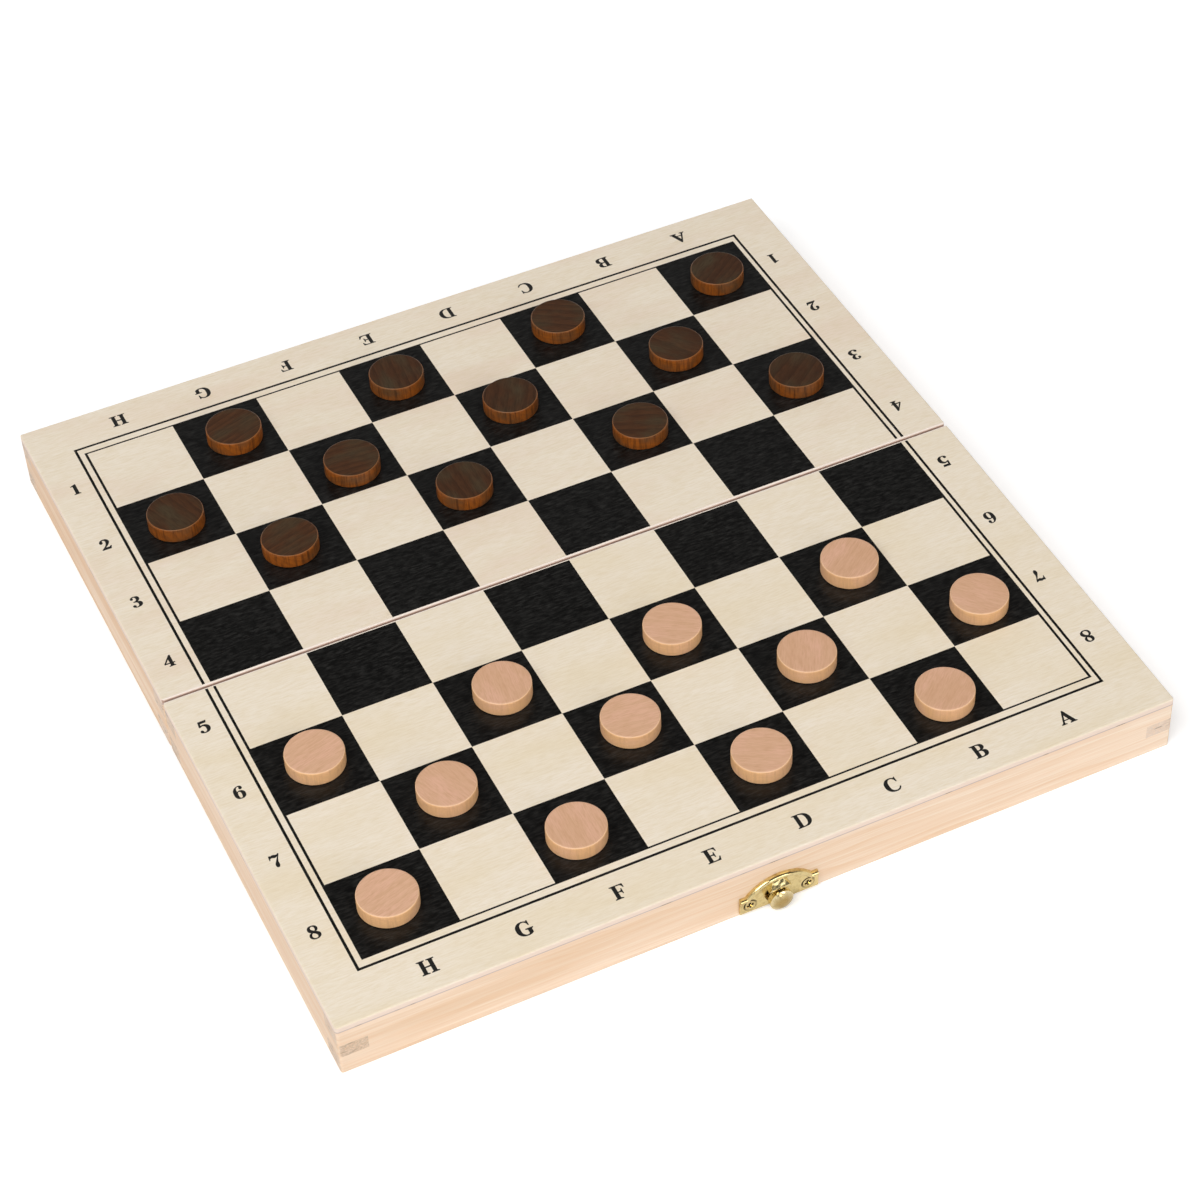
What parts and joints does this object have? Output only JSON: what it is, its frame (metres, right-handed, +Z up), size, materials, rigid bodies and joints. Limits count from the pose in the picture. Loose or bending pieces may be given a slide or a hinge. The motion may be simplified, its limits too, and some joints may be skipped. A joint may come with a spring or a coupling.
{
  "type": "chess and checkers set",
  "caption": "Folding wooden box board with black squares, lying open, with its light and dark checkers set out, a knob catch and hinges underneath.",
  "frame": {"origin": "on the table under the fold, midway between the left and right edges", "axes": "+X along the fold to the right as seen from the light side, +Y from the near edge with the catch knob to the far edge, +Z up"},
  "size_m": [0.2754, 0.2887, 0.027],
  "materials": {
    "panel_ply": "clear satin lacquer",
    "black_stain": "screen-printed black, satin",
    "rail_pine": "planed, clear satin lacquer",
    "brass": "polished",
    "light_checker_wood": "turned, clear satin lacquer",
    "dark_checker_wood": "turned, stained, semi-gloss lacquer"
  },
  "bodies": {
    "near_half": {"near_panel": "panel_ply", "near_squares": "black_stain", "near_front_rail": "rail_pine", "near_fold_rail": "rail_pine", "near_left_rail": "rail_pine", "near_right_rail": "rail_pine", "left_hinge_near_leaf": "brass", "right_hinge_near_leaf": "brass", "left_hinge_pin": "brass", "right_hinge_pin": "brass", "near_hinge_screws": "brass", "knob_plate": "brass", "knob": "brass", "knob_plate_screws": "brass", "light_checker_1": "light_checker_wood", "light_checker_2": "light_checker_wood", "light_checker_3": "light_checker_wood", "light_checker_4": "light_checker_wood", "light_checker_5": "light_checker_wood", "light_checker_6": "light_checker_wood", "light_checker_7": "light_checker_wood", "light_checker_8": "light_checker_wood", "light_checker_9": "light_checker_wood", "light_checker_10": "light_checker_wood", "light_checker_11": "light_checker_wood", "light_checker_12": "light_checker_wood"},
    "far_half": {"far_panel": "panel_ply", "far_squares": "black_stain", "far_back_rail": "rail_pine", "far_fold_rail": "rail_pine", "far_left_rail": "rail_pine", "far_right_rail": "rail_pine", "left_hinge_far_leaf": "brass", "right_hinge_far_leaf": "brass", "far_hinge_screws": "brass", "hook_plate": "brass", "hook_rivet": "brass", "hook_plate_screws": "brass", "dark_checker_1": "dark_checker_wood", "dark_checker_2": "dark_checker_wood", "dark_checker_3": "dark_checker_wood", "dark_checker_4": "dark_checker_wood", "dark_checker_5": "dark_checker_wood", "dark_checker_6": "dark_checker_wood", "dark_checker_7": "dark_checker_wood", "dark_checker_8": "dark_checker_wood", "dark_checker_9": "dark_checker_wood", "dark_checker_10": "dark_checker_wood", "dark_checker_11": "dark_checker_wood", "dark_checker_12": "dark_checker_wood"},
    "catch_hook": {"hook": "brass"}
  },
  "joints": [
    {"name": "fold", "type": "hinge", "parent": "near_half", "child": "far_half", "pos_m": [0, 0, 0.0014], "axis": [-1, 0, 0], "range_deg": [-1.23, 178.76]},
    {"name": "hook_swing", "type": "hinge", "parent": "far_half", "child": "catch_hook", "pos_m": [0.0011, 0.14206, 0.00658], "axis": [0, 0.9999, -0.0107], "range_deg": [0, 90]}
  ]
}
